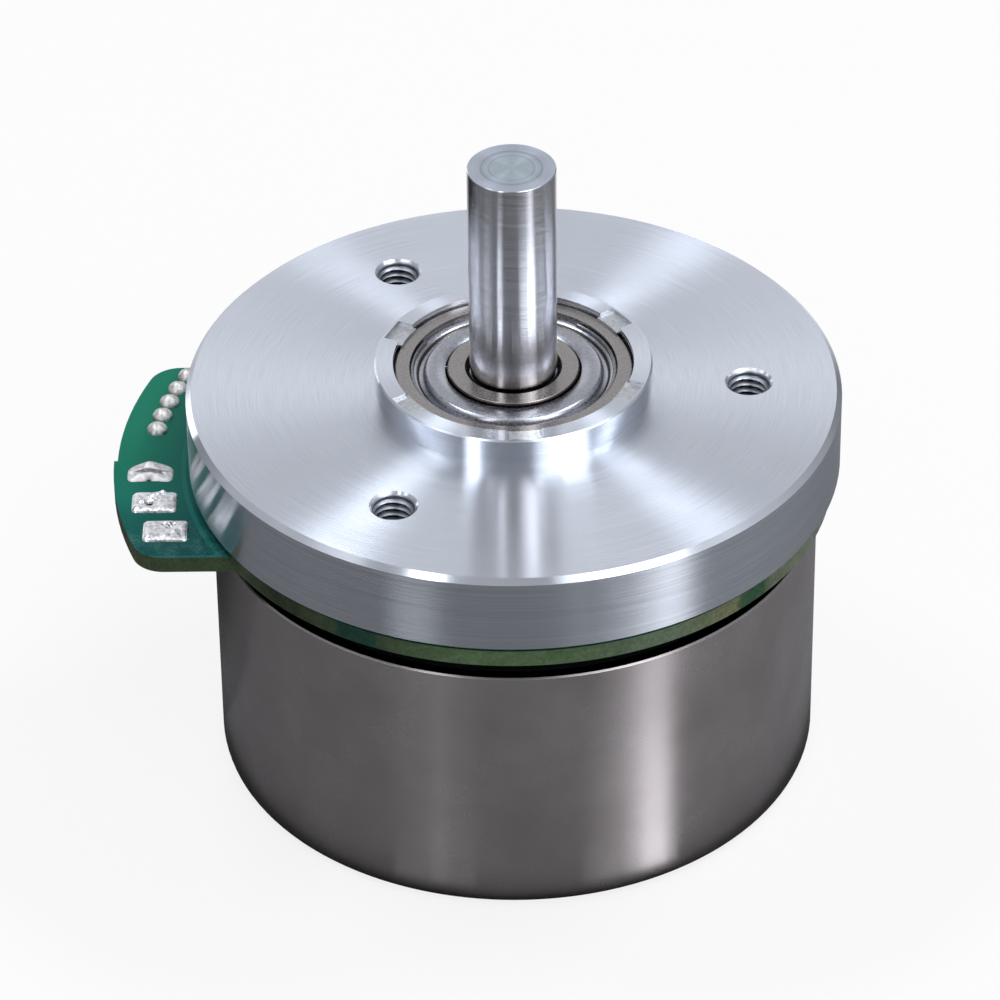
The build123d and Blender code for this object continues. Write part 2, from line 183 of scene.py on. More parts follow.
def from_axis(tree):
    """A point's place on its piece, its X, Y and Z, its way out from the Z axis, and how far out."""
    place = add(tree, "TexCoord").outputs["Object"]
    axes = add(tree, "SeparateXYZ", {"Vector": place}).outputs
    flat = add(tree, "CombineXYZ", {"X": axes["X"], "Y": axes["Y"]})
    radius = add(tree, "VectorMath", {0: flat}, operation="LENGTH").outputs["Value"]
    return place, axes, flat, radius


def only_for_shine(piece):
    """Keeps a part of the studio out of everything but reflections."""
    piece.visible_camera = False
    piece.visible_diffuse = False
    piece.visible_transmission = False
    piece.visible_volume_scatter = False
    piece.visible_shadow = False


# These go round the tent, as degrees to the right of the camera's side and the brightness there.
tent_walls = [(-161, 0.66), (-150, 0.28), (-134, 0.27), (-120, 0.34), (-108, 0.54), (-88, 0.56),
              (-74, 0.48), (-60, 0.22), (-20, 0.20), (60, 0.20), (72, 0.5), (80, 0.8), (96, 0.56),
              (108, 0.48), (120, 0.4), (134, 0.29), (152, 0.24), (162, 0.66), (180, 0.76)]
near_table = [(-150, 0.05), (-140, 0.06), (-130, 0.12), (-120, 0.10), (-110, 0.26), (-100, 0.55),
              (-90, 0.85), (0, 1.0), (30, 1.1), (60, 1.25), (90, 1.3), (150, 1.15), (180, 0.4),
              (205, 0.08)]
far_table = [(-170, 0.10), (-160, 0.40), (-140, 0.50), (-120, 0.30), (-90, 0.19), (0, 0.22), (60, 0.27),
             (150, 0.25), (180, 0.09)]
front_gaps = [(-90, 0.04), (-60, 0.0), (-41, 0.0), (-38, 3.6), (-30, 3.6), (-27, 0.0), (14, 0.0),
              (21, 1.3), (34, 1.9), (37, 1.0), (40, 3.6), (59, 3.6), (63, 0.2), (72, 0.0), (90, 0.04),
              (180, 0.0)]
roof_windows = [(-86, 0.0), (-78, 2.4), (-64, 1.8), (-57, 0.35), (10, 0.3), (22, 0.1), (32, 1.3),
                (88, 1.3), (98, 0.0)]
back_windows = [(144, 0.0), (153, 0.6), (167, 0.6), (173, 0.0), (187, 0.0), (193, 0.6), (207, 0.6),
                (216, 0.0)]
# This goes out over the table: a share of the way between two radii, and the brightness there.
# It is a painted shadow, darkest at the motor's foot.
table_shade = [(0.0, 0.012), (0.036, 0.018), (0.045, 0.09), (0.10, 0.145), (0.2, 0.15), (0.5, 0.152),
               (0.8, 0.205), (1.0, 0.22)]
shade_from_r, shade_to_r = 27 * mm, 90 * mm
far_from_r, far_to_r = 0.12, 0.20
wall_bright_height = 0.12
tent_glow = new_material("glowing grey tent with painted shadow")
tree = tent_glow.node_tree
place, axes, _, radius = from_axis(tree)
around = add(tree, "TexGradient", {"Vector": place}, gradient_type="RADIAL").outputs["Fac"]
# Painted shadow: the table glows darker towards the motor's foot.
away = add(tree, "MapRange", {"Value": radius, "From Min": shade_from_r, "From Max": shade_to_r})
shaded = add(tree, "ValToRGB", {"Fac": away}, stops=greys(table_shade))
table = add(tree, "Math", {0: shaded, 1: level(tree, around, near_table)}, operation="MULTIPLY")
table = add(tree, "MapRange", {"Value": radius, "From Min": far_from_r, "From Max": far_to_r,
                               "To Min": table, "To Max": level(tree, around, far_table)})
up = add(tree, "MapRange", {"Value": axes["Z"], "From Min": floor_height, "From Max": wall_bright_height})
bright = add(tree, "MapRange", {"Value": up, "To Min": table, "To Max": level(tree, around, tent_walls)})
for openings, dark_height, bright_height in (
        (front_gaps, floor_height, wall_bright_height), (roof_windows, 0.57, 0.63),
        (back_windows, 0.56, 0.50)):
    rise = add(tree, "MapRange", {"Value": axes["Z"], "From Min": dark_height, "From Max": bright_height})
    bright = add(tree, "Math", {0: level(tree, around, openings), 1: rise, 2: bright},
                 operation="MULTIPLY_ADD")
shown = add(tree, "Emission", {"Color": tent_tint, "Strength": bright})
add(tree, "OutputMaterial", {"Surface": shown})
tent_foot = floor_height + 0.1 * mm
tent_inner_r, tent_r, tent_wall_top = 20 * mm, 0.9, 0.4
roof_edge_r, roof_edge_height, roof_middle_r, roof_height = 0.5, 0.7, 0.001, 0.75
points, faces = turned_mesh([(tent_inner_r, tent_foot), (tent_r, tent_foot), (tent_r, tent_wall_top),
                             (roof_edge_r, roof_edge_height), (roof_middle_r, roof_height)], steps=96)
only_for_shine(new_piece("tent", points, faces, tent_glow))

rotor_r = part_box("rotor_cup")[1].x
card_gap, card_reach = 2.2 * mm, 0.8
card_strength = 1.4
card_steps = 12


def glowing_card(name, first, last, across, outward):
    """A glowing card on the table, whose image stands upright on the motor's side between two angles."""
    card = new_material(name)
    tree = card.node_tree
    spot = add(tree, "SeparateXYZ", {"Vector": add(tree, "UVMap")}).outputs
    shade = add(tree, "ValToRGB", {"Fac": spot["X"]}, stops=greys(across))
    painted_fade = add(tree, "ValToRGB", {"Fac": spot["Y"]}, stops=greys(outward))
    both = add(tree, "Math", {0: shade, 1: painted_fade}, operation="MULTIPLY")
    bright = add(tree, "Math", {0: both, 1: card_strength}, operation="MULTIPLY")
    shown = add(tree, "Emission", {"Color": tent_tint, "Strength": bright})
    add(tree, "OutputMaterial", {"Surface": shown})
    points = []
    for i in range(card_steps + 1):
        a = radians(first + (last - first) * i / card_steps)
        wall = Vector((rotor_r * sin(a), -rotor_r * cos(a), tent_foot + 0.1 * mm))
        mirrored = Vector((sin(2 * a), -cos(2 * a), 0))
        points += [wall + card_gap * mirrored, wall + card_reach * mirrored]
    faces = [(2 * i, 2 * i + 2, 2 * i + 3, 2 * i + 1) for i in range(card_steps)]
    made = new_piece(name, points, faces, card)
    uv = made.data.uv_layers.new(name="across")
    for loop in made.data.loops:
        uv.data[loop.index].uv = (loop.vertex_index // 2 / card_steps, loop.vertex_index % 2)
    only_for_shine(made)


# Painted reflections: two glowing cards, each with its own brightness across and along it.
glowing_card("right_glowing_card", first=12, last=31.5,
          across=[(0.0, 0.12), (0.4, 0.27), (0.56, 0.50), (0.67, 0.85), (0.84, 0.88), (0.91, 0.45),
                  (1.0, 0.28)],
          outward=[(0.0, 1.0), (0.020, 1.0), (0.036, 0.60), (0.047, 0.60), (0.056, 1.0)])
glowing_card("left_glowing_card", first=-24, last=-8,
          across=[(0.0, 0.12), (0.42, 0.14), (0.5, 0.18), (0.62, 0.18), (0.68, 0.14), (1.0, 0.12)],
          outward=[(0.0, 1.0), (1.0, 1.0)])

window_away = 0.8
window_left, window_right, window_foot, window_head = -148, -128, -1, 12
window = new_material("bright window behind the left")
tree = window.node_tree
shown = add(tree, "Emission", {"Color": tent_tint, "Strength": 2.2})
add(tree, "OutputMaterial", {"Surface": shown})
points = []
for around, up in ((window_left, window_foot), (window_right, window_foot),
                   (window_right, window_head), (window_left, window_head)):
    a, e = radians(around), radians(up)
    points.append((window_away * sin(a), -window_away * cos(a), window_away * tan(e)))
only_for_shine(new_piece("left_window", points, [(0, 1, 2, 3)], window))


def soft_box(name, around, up, away, width, length, watts, colour, lean=0.0):
    """A soft lamp that faces the motor from a direction round it and above it, in degrees."""
    a, e = radians(around), radians(up)
    out = Vector((cos(e) * sin(a), -cos(e) * cos(a), sin(e)))
    across = Vector((0, 0, 1)).cross(out).normalized()
    upward = out.cross(across)
    along = (across * cos(radians(lean)) + upward * sin(radians(lean))).normalized()
    turn = Matrix((along, out.cross(along), out)).transposed().to_4x4()
    lamp = bpy.data.objects.new(name, bpy.data.lights.new(name, "AREA"))
    lamp.data.shape = "RECTANGLE"
    lamp.data.size, lamp.data.size_y = length, width
    lamp.data.energy = watts
    lamp.data.color = linear(colour)[:3]
    lamp.matrix_world = Matrix.Translation(out * away) @ turn
    lamp.visible_camera = False
    bpy.context.scene.collection.objects.link(lamp)
    return lamp


soft_box("left_box", around=-124, up=61.6, away=0.6, width=0.09, length=0.20, watts=0.92,
         colour="#ebf2ff", lean=-4)
soft_box("right_box", around=118, up=58.4, away=0.6, width=0.09, length=0.20, watts=0.92,
         colour="#ebf2ff", lean=13)
fill_box = soft_box("front_fill", around=20, up=50, away=0.7, width=0.4, length=0.4, watts=0.9,
                    colour="#fff8f2")
fill_box.visible_glossy = False


# The mounting flange, with its pilot boss and bearing tube.
# Turned from one bar of 6061 aluminium: fine rings on its faces spread the light into fans, its bevel
# and the boss's side are burnished, and the stakes punched over the bearing are frosted.
true_length_r = 20 * mm
seam_slack = 0.0025


def tool_lines(tree, pitch, length, sway):
    """Lines round the axis, as a cutting edge or wheel leaves them: their relief, and how they run."""
    place, axes, flat, radius = from_axis(tree)
    way = add(tree, "VectorMath", {0: flat}, operation="NORMALIZE")
    feed = add(tree, "Math", {0: radius, 1: axes["Z"]}, operation="ADD")
    stretch = pitch * true_length_r / length
    spot = add(tree, "VectorMath", {0: way, 1: (stretch,) * 3, 2: add(tree, "CombineXYZ", {"X": feed})},
               operation="MULTIPLY_ADD")
    marks = add(tree, "TexNoise", {"Vector": spot, "Scale": 1 / pitch, "Detail": 2.0}).outputs["Fac"]
    round_axis = add(tree, "Tangent", direction_type="RADIAL", axis="Z")
    across = add(tree, "VectorMath", {0: add(tree, "NewGeometry").outputs["Normal"], 1: round_axis},
                 operation="CROSS_PRODUCT")
    lean = add(tree, "MapRange", {"Value": marks, "From Min": 0.25, "From Max": 0.75,
                                  "To Min": -sway, "To Max": sway}, clamp=False)
    aside = add(tree, "VectorMath", {0: across, "Scale": lean}, operation="SCALE")
    run = add(tree, "VectorMath", {0: round_axis, 1: aside}, operation="ADD")
    return marks, run, place, radius, axes["Z"]


def turned_normal(tree):
    """The normal of a wall turned about Z, from the axis itself, so that no seam shows in its shine."""
    own = add(tree, "TexCoord").outputs["Normal"]
    out = add(tree, "VectorMath", {0: from_axis(tree)[2]}, operation="NORMALIZE")
    rise = add(tree, "SeparateXYZ", {"Vector": own}).outputs["Z"]
    outward = add(tree, "VectorMath", {0: own, 1: out}, operation="DOT_PRODUCT").outputs["Value"]
    rise_squared = add(tree, "Math", {0: rise, 1: rise}, operation="MULTIPLY")
    outward_squared = add(tree, "Math", {0: outward, 1: outward}, operation="MULTIPLY")
    flat_squared = add(tree, "Math", {0: 1.0, 1: rise_squared}, operation="SUBTRACT")
    flat = add(tree, "Math", {0: flat_squared, 1: 0.0}, operation="MAXIMUM")
    flat = add(tree, "Math", {0: flat}, operation="SQRT")
    side = add(tree, "Math", {0: outward}, operation="SIGN")
    reach = add(tree, "Math", {0: flat, 1: side}, operation="MULTIPLY")
    turned = add(tree, "VectorMath", {0: out, "Scale": reach}, operation="SCALE")
    turned = add(tree, "VectorMath", {0: turned, 1: add(tree, "CombineXYZ", {"Z": rise})}, operation="ADD")
    aside = add(tree, "Math", {0: flat_squared, 1: outward_squared}, operation="SUBTRACT")
    is_turned = add(tree, "Math", {0: aside, 1: seam_slack}, operation="LESS_THAN")
    chosen = add(tree, "Mix", {0: is_turned, 4: own, 5: turned}, data_type="VECTOR").outputs[1]
    return add(tree, "VectorTransform", {"Vector": chosen}, vector_type="NORMAL", convert_from="OBJECT",
               convert_to="WORLD")


# Real feed marks are finer than a pixel here, so both kinds are drawn as coarse as they need to show.
feed_mark, side_mark = 0.12 * mm, 0.2 * mm
boss_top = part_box("flange")[1].z
stake_depth, stake_reach_r = 0.35 * mm, 12.5 * mm
boss_side_r, edge_bevel_r = 13.5 * mm, 28 * mm
punch_relief = 24.0
aluminium = new_material("turned 6061 aluminium")
tree = aluminium.node_tree
marks, run, place, radius, height = tool_lines(tree, feed_mark, length=4 * mm, sway=0.0035)
drop = add(tree, "Math", {0: height, 1: boss_top - stake_depth}, operation="SUBTRACT")
near = add(tree, "Math", {0: drop, 1: 0.0, 2: 0.06 * mm}, operation="COMPARE")
inside = add(tree, "Math", {0: radius, 1: stake_reach_r}, operation="LESS_THAN")
punched = add(tree, "Math", {0: near, 1: inside}, operation="MULTIPLY")
tilt = add(tree, "SeparateXYZ", {"Vector": add(tree, "TexCoord").outputs["Normal"]}).outputs["Z"]
upright = add(tree, "Math", {0: tilt, 1: 0.5}, operation="LESS_THAN")
sloped = add(tree, "Math", {0: tilt, 1: 0.7, 2: 0.25}, operation="COMPARE")
outermost = add(tree, "Math", {0: radius, 1: edge_bevel_r}, operation="GREATER_THAN")
innermost = add(tree, "Math", {0: radius, 1: boss_side_r}, operation="LESS_THAN")
bevelled = add(tree, "Math", {0: sloped, 1: outermost}, operation="MULTIPLY")
boss_side = add(tree, "Math", {0: upright, 1: innermost}, operation="MULTIPLY")
burnished = add(tree, "Math", {0: bevelled, 1: boss_side}, operation="MAXIMUM")
frosted = add(tree, "TexNoise", {"Vector": place, "Scale": 1 / (0.3 * mm), "Detail": 2.0}).outputs["Fac"]
shade = add(tree, "ValToRGB", {"Fac": marks}, stops=[(0.3, linear("#d6dae2")), (0.7, linear("#dfe3ea"))])
frost = add(tree, "ValToRGB", {"Fac": frosted}, stops=[(0.3, linear("#d4d6d9")), (0.7, linear("#f2f3f4"))])
colour = add(tree, "Mix", {0: punched, 6: shade, 7: frost}, data_type="RGBA").outputs[2]
side_lines = tool_lines(tree, side_mark, length=45 * mm, sway=0)[0]
tone = add(tree, "MapRange", {"Value": side_lines, "From Min": 0.3, "From Max": 0.7,
                              "To Min": 0.955, "To Max": 1.05})
tone = add(tree, "Mix", {0: upright, 2: 1.0, 3: tone}, data_type="FLOAT").outputs[0]
colour = add(tree, "VectorMath", {0: colour, "Scale": tone}, operation="SCALE")
patches = add(tree, "TexNoise", {"Vector": place, "Scale": 1 / (5 * mm), "Detail": 3.0}).outputs["Fac"]
worn = add(tree, "Math", {0: marks, 1: patches}, operation="MULTIPLY")
worn = add(tree, "MapRange", {"Value": worn, "From Min": 0.12, "From Max": 0.4,
                              "To Min": 0.22, "To Max": 0.26})
worn = add(tree, "Mix", {0: burnished, 2: worn, 3: 0.14}, data_type="FLOAT").outputs[0]
rough = add(tree, "Mix", {0: punched, 2: worn, 3: 0.38}, data_type="FLOAT").outputs[0]
dents = add(tree, "Math", {0: frosted, 1: punch_relief}, operation="MULTIPLY")
relief = add(tree, "Mix", {0: punched, 2: marks, 3: dents}, data_type="FLOAT").outputs[0]
rings = add(tree, "Bump", {"Height": relief, "Distance": 0.0003 * mm, "Strength": 1.0,
                           "Normal": turned_normal(tree)})
metal = add(tree, "BsdfPrincipled", {
    "Base Color": colour, "Metallic": 1.0, "Roughness": rough, "Anisotropic": 1.0,
    "Anisotropic Rotation": 0.25, "Normal": rings, "Tangent": run})
add(tree, "OutputMaterial", {"Surface": metal})


def dress(material, *nodes):
    """Gives CAD nodes their finish."""
    for name in nodes:
        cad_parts[name].material_slots[0].material = material


dress(aluminium, "flange")


# The threads of the three mounting holes.
# M4 by 0.7, cut with a tap. The crests carry a painted highlight and the roots a painted shade that
# deepens down the hole. Each is a thin sleeve that lines its hole, from the countersink's foot to the
# flange's back face.
thread_pitch = 0.7 * mm
thread_root_r, thread_crest_r = 1.98 * mm, 1.62 * mm
flank_slope, root_flat = 1.35, 0.12
first_cut, full_cut = 0.55 * mm, 0.8 * mm
sink_r, hole_r, hole_circle_r = 2.2 * mm, 2.0 * mm, 21.5 * mm
mouth_burr, back_burr = 0.1 * mm, 0.3 * mm
sleeve_gap, sleeve_lip = 0.002 * mm, 0.01 * mm
flange_t = 7.65 * mm
hole_count = 3
tapped = new_material("tapped aluminium")
tree = tapped.node_tree
place = add(tree, "TexCoord").outputs["Object"]
grain = add(tree, "TexNoise", {"Vector": place, "Scale": 1 / (0.3 * mm), "Detail": 2.0}).outputs["Fac"]
scuffs = add(tree, "Bump", {"Height": grain, "Distance": 0.001 * mm, "Strength": 1.0})
# Painted shade: the wall darkens further down the hole.
depth = add(tree, "SeparateXYZ", {"Vector": place}).outputs["Z"]
depth = add(tree, "MapRange", {"Value": depth, "From Min": -3 * mm, "From Max": -0.4 * mm, "To Min": 0.4})
# Painted highlight on the crests and painted shade in the roots.
crest = add(tree, "Attribute", attribute_name="crest").outputs["Fac"]
lit = add(tree, "Math", {0: crest, 1: depth}, operation="MULTIPLY")
shade = add(tree, "ValToRGB", {"Fac": lit}, stops=[(0.0, linear("#3c3e43")), (0.45, linear("#7b7f86")),
                                                   (1.0, linear("#bfc3c9"))])
add(tree, "OutputMaterial", {"Surface": add(tree, "BsdfPrincipled", {
    "Base Color": shade, "Metallic": 1.0, "Roughness": 0.36, "Normal": scuffs})})


def cut(depth):
    """How much of the thread stands out at a depth: none at the mouth, and all of it from full_cut."""
    return min(max((depth - first_cut) / (full_cut - first_cut), 0), 1)


def thread_radius(angle, depth):
    """Radius of the tapped wall at an angle and a depth below the face."""
    phase = (depth / thread_pitch + angle / (2 * pi)) % 1
    sunk = min(max(abs(2 * phase - 1) * flank_slope - root_flat, 0), 1)
    wall = thread_root_r - mouth_burr * (1 - cut(depth))
    wall += (thread_crest_r - thread_root_r) * (1 - sunk) * cut(depth)
    return max(wall, sink_r - depth, sink_r - back_burr + depth - flange_t)


around_steps, rows_a_turn = 72, 14
top_depth = sink_r - hole_r
rows = int((flange_t - top_depth) / thread_pitch * rows_a_turn)
for hole in range(hole_count):
    turn = 2 * pi * hole / hole_count
    middle = Vector((hole_circle_r * cos(turn), hole_circle_r * sin(turn), 0))
    rings = []
    for i in range(rows + 1):
        depth = top_depth + (flange_t - top_depth) * i / rows
        rings.append([(thread_radius(2 * pi * j / around_steps, depth), depth)
                      for j in range(around_steps)])
    for depth in (flange_t, top_depth + sleeve_lip):
        rings.append([(hole_r - sleeve_gap, depth)] * around_steps)
    points, crests = [], []
    for ring in rings:
        for j, (r, depth) in enumerate(ring):
            angle = 2 * pi * j / around_steps
            crest = min(max((thread_root_r - r) / (thread_root_r - thread_crest_r), 0), 1)
            crests.append(0.75 + (crest - 0.75) * cut(depth))
            points.append(middle + Vector((r * cos(angle), r * sin(angle), -depth)))
    faces = ring_faces(len(rings), around_steps, closed=True)
    thread = new_piece(f"mount_thread_{hole + 1}", points, faces, tapped)
    thread.data.attributes.new("crest", "FLOAT", "POINT").data.foreach_set("value", crests)
    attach(thread, "stator")


# The two shielded ball bearings.
# Ground chromium-steel rings, speckled and softly matt, with painted shade in their gaps and grooves;
# pressed steel shields held by spring wire; balls in a moulded nylon cage. The specks are coarser than
# real ones, so that they show.
def ground_steel(name, dark, light, roughness, pitch, speck=0.35 * mm, painted_shade_bands=()):
    """Ground steel with specks of another shade, and painted shade between radii given in millimetres."""
    made = new_material(name)
    tree = made.node_tree
    marks, run, place, radius, _ = tool_lines(tree, pitch, length=6 * mm, sway=0.03)
    specks = add(tree, "TexNoise", {"Vector": place, "Scale": 1 / speck, "Detail": 3.0, "Roughness": 0.6})
    both = add(tree, "Math", {0: marks, 1: specks.outputs["Fac"]}, operation="ADD")
    shade = add(tree, "ValToRGB", {"Fac": specks.outputs["Fac"]},
                stops=[(0.35, linear(dark)), (0.65, linear(light))]).outputs[0]
    # Painted shade: a dark band between each pair of radii, where gaps and grooves fall dark.
    for inner, outer in painted_shade_bands:
        out = add(tree, "Math", {0: radius, 1: (inner + outer) / 2 * mm}, operation="SUBTRACT")
        band = add(tree, "Math", {0: out, 1: 0.0, 2: (outer - inner) / 2 * mm}, operation="COMPARE")
        shade = add(tree, "Mix", {0: band, 6: shade, 7: linear("#4a4440")}, data_type="RGBA").outputs[2]
    rough = add(tree, "MapRange", {"Value": both, "From Min": 0.7, "From Max": 1.3,
                                   "To Min": roughness - 0.05, "To Max": roughness + 0.05})
    bump = add(tree, "Bump", {"Height": both, "Distance": 0.0001 * mm, "Strength": 1.0,
                              "Normal": turned_normal(tree)})
    metal = add(tree, "BsdfPrincipled", {
        "Base Color": shade, "Metallic": 1.0, "Roughness": rough, "Anisotropic": 0.5,
        "Anisotropic Rotation": 0.25, "Normal": bump, "Tangent": run})
    add(tree, "OutputMaterial", {"Surface": metal})
    return made


ring_steel = ground_steel("ground bearing steel", "#9a9491", "#a8a3a0", roughness=0.27, pitch=0.15 * mm,
                          speck=0.16 * mm, painted_shade_bands=[(0, 4.45), (5.95, 6.2), (10.8, 12)])
shield_steel = ground_steel("pressed shield steel", "#a2a3a9", "#b0b1b7", roughness=0.28, pitch=0.3 * mm,
                            speck=0.3 * mm, painted_shade_bands=[(8.62, 8.84)])
wire_steel = ground_steel("drawn spring wire", "#7d7c80", "#939296", roughness=0.24, pitch=0.1 * mm)
ball_steel = ground_steel("lapped ball steel", "#c6c6ca", "#cfcfd3", roughness=0.1, pitch=0.3 * mm)
shield_t = 0.25 * mm
shield_lip_r, shield_flat_r, groove_r = 6.2 * mm, 7.85 * mm, 8.3 * mm
groove_end_r, slope_end_r, shield_rim_r = 8.6 * mm, 8.82 * mm, 8.95 * mm
flat_depth, groove_depth, rim_depth = 0.28 * mm, 0.95 * mm, 0.62 * mm
edge_round = 0.06 * mm
bend_steps, bend_ease = 8, 0.8
for end, up in (("front", 1), ("rear", -1)):
    dress(ring_steel, f"{end}_bearing_outer_ring", f"{end}_bearing_inner_ring")
    dress(shield_steel, f"{end}_bearing_inside_shield")
    dress(wire_steel, f"{end}_bearing_outside_snap_wire", f"{end}_bearing_inside_snap_wire")
    dress(ball_steel, f"{end}_bearing_balls")
    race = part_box(f"{end}_bearing_outer_ring")[(1 + up) // 2].z
    seat_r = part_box(f"{end}_bearing_outside_shield")[1].x
    top_side = [(shield_lip_r, flat_depth + edge_round), (shield_lip_r + edge_round, flat_depth)]
    for i in range(bend_steps + 1):
        a = pi / 2 * i / bend_steps
        top_side.append((shield_flat_r + (groove_r - shield_flat_r) * sin(a),
                         flat_depth + (groove_depth - flat_depth) * (1 - cos(a)) ** bend_ease))
    top_side += [(groove_end_r, groove_depth), (slope_end_r, rim_depth + 0.12 * mm),
                 (shield_rim_r, rim_depth), (seat_r, rim_depth)]
    under_side = [(seat_r, rim_depth + shield_t), (shield_rim_r + 0.03 * mm, rim_depth + shield_t),
                  (groove_end_r + 0.1 * mm, groove_depth + shield_t),
                  (shield_flat_r, groove_depth + 0.1 * mm),
                  (shield_flat_r - 0.3 * mm, flat_depth + shield_t), (shield_lip_r, flat_depth + shield_t)]
    profile = [(r, race - up * depth) for r, depth in top_side + under_side]
    points, faces = turned_mesh(profile[::up], steps=144, closed=True)
    shield = new_piece(f"{end}_shield", points, faces, shield_steel, sharp_angle=50)
    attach(shield, "stator")
    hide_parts(f"{end}_bearing_outside_shield")


def moulded_plastic(name, dark, light, roughness, grain):
    """Injection-moulded plastic: one colour with faint flow marks and a fine spark-eroded grain."""
    made = new_material(name)
    tree = made.node_tree
    place = add(tree, "TexCoord").outputs["Object"]
    flow = add(tree, "TexNoise", {"Vector": place, "Scale": 1 / (3 * mm), "Detail": 3.0}).outputs["Fac"]
    fine = add(tree, "TexNoise", {"Vector": place, "Scale": 1 / grain, "Detail": 2.0}).outputs["Fac"]
    shade = add(tree, "ValToRGB", {"Fac": flow}, stops=[(0.3, linear(dark)), (0.7, linear(light))])
    rough = add(tree, "MapRange", {"Value": flow, "To Min": roughness - 0.05, "To Max": roughness + 0.05})
    bump = add(tree, "Bump", {"Height": fine, "Distance": 0.01 * mm, "Strength": 1.0})
    add(tree, "OutputMaterial", {"Surface": add(tree, "BsdfPrincipled", {
        "Base Color": shade, "Roughness": rough, "IOR": 1.53, "Normal": bump})})
    return made


cage_nylon = moulded_plastic("glass-filled nylon", "#b3a27c", "#c4b48e", roughness=0.5, grain=0.25 * mm)
dress(cage_nylon, "front_bearing_cage", "rear_bearing_cage")
washer_steel = ground_steel("blued spring steel", "#4a4c58", "#5d606c", roughness=0.32, pitch=0.2 * mm)
dress(washer_steel, "wave_washer")


# The shaft.
# Ground hardened stainless steel: faint wheel lines round it make it mirror in upright streaks. Its
# ends are faced in fine rings, and the narrow relief by the front bearing has painted shade, near black.

# Real wheel lines are far finer than a pixel here, and these are as coarse as they need to show.
wheel_mark = 0.09 * mm
relief_top, relief_w, relief_r = 2.15 * mm, 0.65 * mm, 3.7 * mm
shaft_steel = new_material("centreless-ground stainless steel")
tree = shaft_steel.node_tree
marks, run, _, radius, height = tool_lines(tree, wheel_mark, length=6 * mm, sway=0.008)
shade = add(tree, "ValToRGB", {"Fac": marks}, stops=[(0.3, linear("#b9b7b9")), (0.7, linear("#d6d5d7"))])
# Painted shade, near black, in the narrow relief.
sunk = add(tree, "Math", {0: radius, 1: relief_r + 0.1 * mm}, operation="LESS_THAN")
level_with = add(tree, "Math", {0: height, 1: relief_top - relief_w / 2, 2: relief_w / 2 + 0.05 * mm},
                 operation="COMPARE")
painted_shade_relief = add(tree, "Math", {0: sunk, 1: level_with}, operation="MULTIPLY")
shade = add(tree, "Mix", {0: painted_shade_relief, 6: shade, 7: linear("#120f0d")}, data_type="RGBA").outputs[2]
rough = add(tree, "MapRange", {"Value": marks, "From Min": 0.25, "From Max": 0.75,
                               "To Min": 0.147, "To Max": 0.163})
bump = add(tree, "Bump", {"Height": marks, "Distance": 0.00015 * mm, "Strength": 1.0})
add(tree, "OutputMaterial", {"Surface": add(tree, "BsdfPrincipled", {
    "Base Color": shade, "Metallic": 1.0, "Roughness": rough, "Anisotropic": 1.0,
    "Anisotropic Rotation": 0.25, "Normal": bump, "Tangent": run})})
low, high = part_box("shaft")
shaft_r, bevel = high.x, 0.06 * mm
faced_steel = new_material("faced stainless steel")
tree = faced_steel.node_tree
marks, run, place, radius, _ = tool_lines(tree, pitch=0.1 * mm, length=3 * mm, sway=0.06)
tone = add(tree, "MapRange", {"Value": radius, "From Max": 4 * mm})
tone = add(tree, "Math", {0: marks, 1: 0.05, 2: tone}, operation="MULTIPLY_ADD")
shade = add(tree, "ValToRGB", {"Fac": tone}, stops=[
    (0.0, linear("#aeb9be")), (0.5, linear("#b4bdc3")), (0.54, linear("#a3abb4")),
    (0.58, linear("#b9c0c8")), (0.68, linear("#adb4bd")), (0.71, linear("#989fa9")),
    (0.75, linear("#b6bbc4")), (0.95, linear("#bbc0ca"))])
speck = add(tree, "TexNoise", {"Vector": place, "Scale": 1 / (0.12 * mm), "Detail": 2.0}).outputs["Fac"]
speck = add(tree, "MapRange", {"Value": speck, "From Min": 0.3, "From Max": 0.7,
                               "To Min": 0.9, "To Max": 1.08})
shade = add(tree, "VectorMath", {0: shade, "Scale": speck}, operation="SCALE")
bump = add(tree, "Bump", {"Height": marks, "Distance": 0.001 * mm, "Strength": 1.0})
add(tree, "OutputMaterial", {"Surface": add(tree, "BsdfPrincipled", {
    "Base Color": shade, "Metallic": 1.0, "Roughness": 0.36, "Anisotropic": 0.7,
    "Anisotropic Rotation": 0.25, "Normal": bump, "Tangent": run})})
ring_steps, ring_depth, ring_pitch = 36, 0.012 * mm, 2 * pi * 0.11 * mm
middle_r = 0.001 * mm
face = [(middle_r, high.z - 0.01 * mm)]
for i in range(1, ring_steps + 1):
    r = i / ring_steps * (shaft_r - bevel)
    face.append((r, high.z - ring_depth * (0.5 + 0.5 * sin(2 * pi * r / ring_pitch))))
side = [(shaft_r, high.z - bevel), (shaft_r, relief_top), (relief_r, relief_top),
        (relief_r, relief_top - relief_w), (shaft_r, relief_top - relief_w), (shaft_r, low.z + bevel)]
foot = [(shaft_r - bevel, low.z), (middle_r, low.z)]
points, faces = turned_mesh((face + side + foot)[::-1], steps=96)
shaft = new_piece("ground_shaft", points, faces, shaft_steel)
shaft.data.materials.append(faced_steel)
for polygon in shaft.data.polygons:
    at_an_end = not low.z + mm < polygon.center.z < high.z - mm
    polygon.material_index = 1 if at_an_end and abs(polygon.normal.z) > 0.9 else 0
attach(shaft, "rotor")
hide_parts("shaft")


